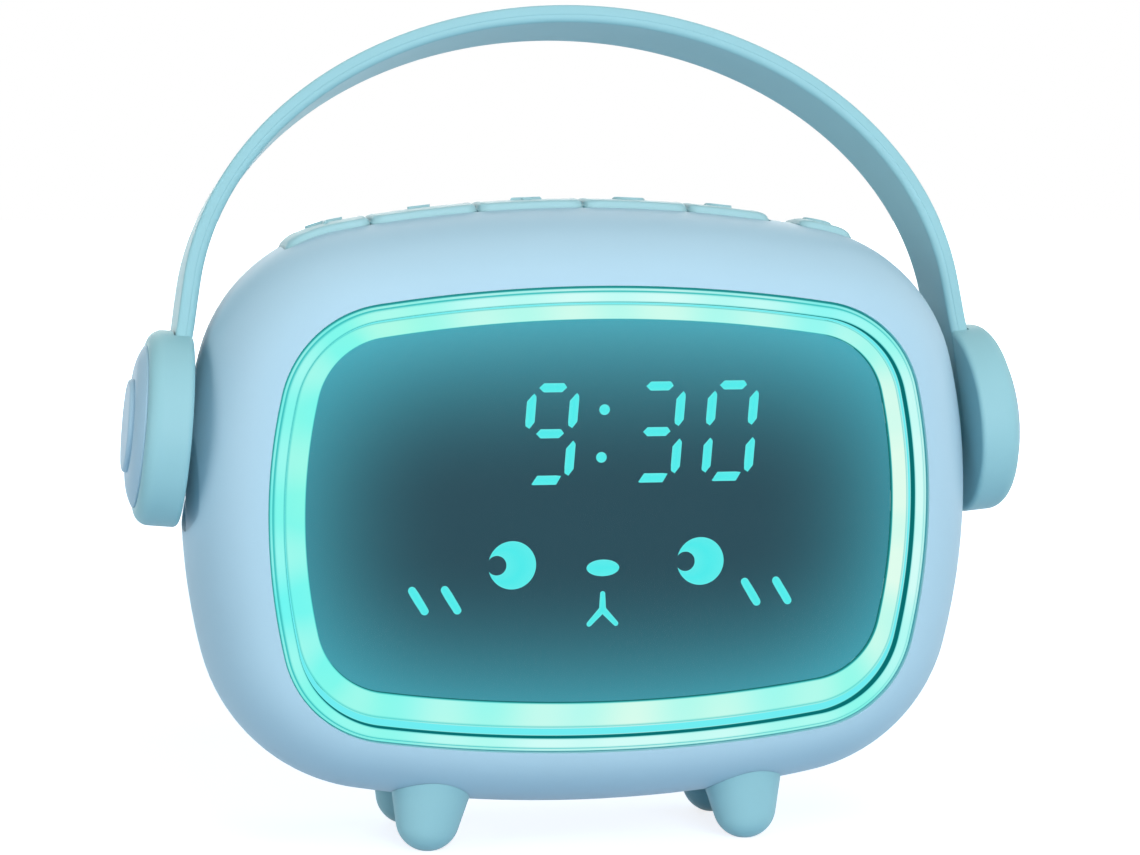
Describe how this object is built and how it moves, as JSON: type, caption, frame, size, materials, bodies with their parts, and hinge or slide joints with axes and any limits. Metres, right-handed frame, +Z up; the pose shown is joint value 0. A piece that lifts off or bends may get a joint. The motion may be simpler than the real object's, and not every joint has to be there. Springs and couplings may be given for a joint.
{
  "type": "kids alarm clock with night light",
  "caption": "Rounded plastic alarm clock on short feet with a lit display, a glowing ring round it, press keys on top and a strap handle that turns on round side cups.",
  "frame": {"origin": "on the surface that the clock stands on, below the middle of the body", "axes": "+Z up, +X to the right seen from the front, +Y to the rear; the display looks along -Y"},
  "size_m": [0.1608, 0.047, 0.147],
  "materials": {
    "body_shell": "satin",
    "trim": "satin",
    "cap": "satin",
    "key": "satin",
    "ring": "translucent, lit from behind",
    "guide": "translucent, lit from behind",
    "lens": "smoked, glossy",
    "lit_mark": "lit",
    "mask": "matte",
    "board": "solder mask",
    "chip": "matte",
    "lamp": "clear",
    "steel": "plain",
    "magnet": "plain",
    "cone": "paper",
    "soft": "matte",
    "cell": "shrink sleeve",
    "holder": "matte",
    "contact": "plated",
    "lead": "insulated",
    "flex": "flexible"
  },
  "bodies": {
    "housing": {"front_shell": "body_shell", "rear_cover": "body_shell", "foot_front_left": "trim", "foot_front_right": "trim", "foot_rear_left": "trim", "foot_rear_right": "trim", "light_ring": "ring", "light_guide": "guide", "display_lens": "lens", "digit_segments": "lit_mark", "colon_dots": "lit_mark", "eye_icons": "lit_mark", "nose_icon": "lit_mark", "mouth_icon": "lit_mark", "cheek_icons": "lit_mark", "display_mask": "mask", "led_board": "board", "main_board": "board", "key_board": "board", "board_chips": "chip", "switch_bases": "chip", "display_leds": "lamp", "night_light_leds": "lamp", "usb_socket": "steel", "case_screws": "steel", "board_screws": "steel", "foot_screws": "steel", "speaker_frame": "steel", "speaker_magnet": "magnet", "speaker_cone": "cone", "speaker_gasket": "soft", "friction_washer_left": "soft", "friction_washer_right": "soft", "battery_cell": "cell", "battery_holder": "holder", "battery_contacts": "contact", "battery_leads": "lead", "speaker_leads": "lead", "key_ribbon": "flex", "display_ribbon": "flex"},
    "handle": {"handle_strap": "trim", "ear_cup_left": "trim", "ear_cup_right": "trim", "ear_cap_left": "cap", "ear_cap_right": "cap", "pivot_screw_left": "steel", "pivot_screw_right": "steel"},
    "key_plus": {"key_plus": "key", "switch_button_plus": "chip"},
    "key_minus": {"key_minus": "key", "switch_button_minus": "chip"},
    "key_bell": {"key_bell": "key", "switch_button_bell": "chip"},
    "key_clock": {"key_clock": "key", "switch_button_clock": "chip"},
    "key_light": {"key_light": "key", "switch_button_light": "chip"},
    "key_power": {"key_power": "key", "switch_button_power": "chip"}
  },
  "joints": [
    {"name": "handle_swing", "type": "hinge", "parent": "housing", "child": "handle", "pos_m": [0, 0, 0.0729], "axis": [1, 0, 0], "range_deg": [-79, 101]},
    {"name": "press_plus", "type": "slide", "parent": "housing", "child": "key_plus", "axis": [0, 0, -1], "range_m": [0, 0.0008], "stiffness_N_per_m": 800},
    {"name": "press_minus", "type": "slide", "parent": "housing", "child": "key_minus", "axis": [0, 0, -1], "range_m": [0, 0.0008], "stiffness_N_per_m": 800},
    {"name": "press_bell", "type": "slide", "parent": "housing", "child": "key_bell", "axis": [0, 0, -1], "range_m": [0, 0.0008], "stiffness_N_per_m": 800},
    {"name": "press_clock", "type": "slide", "parent": "housing", "child": "key_clock", "axis": [0, 0, -1], "range_m": [0, 0.0008], "stiffness_N_per_m": 800},
    {"name": "press_light", "type": "slide", "parent": "housing", "child": "key_light", "axis": [0, 0, -1], "range_m": [0, 0.0008], "stiffness_N_per_m": 800},
    {"name": "press_power", "type": "slide", "parent": "housing", "child": "key_power", "axis": [0, 0, -1], "range_m": [0, 0.0008], "stiffness_N_per_m": 800}
  ]
}
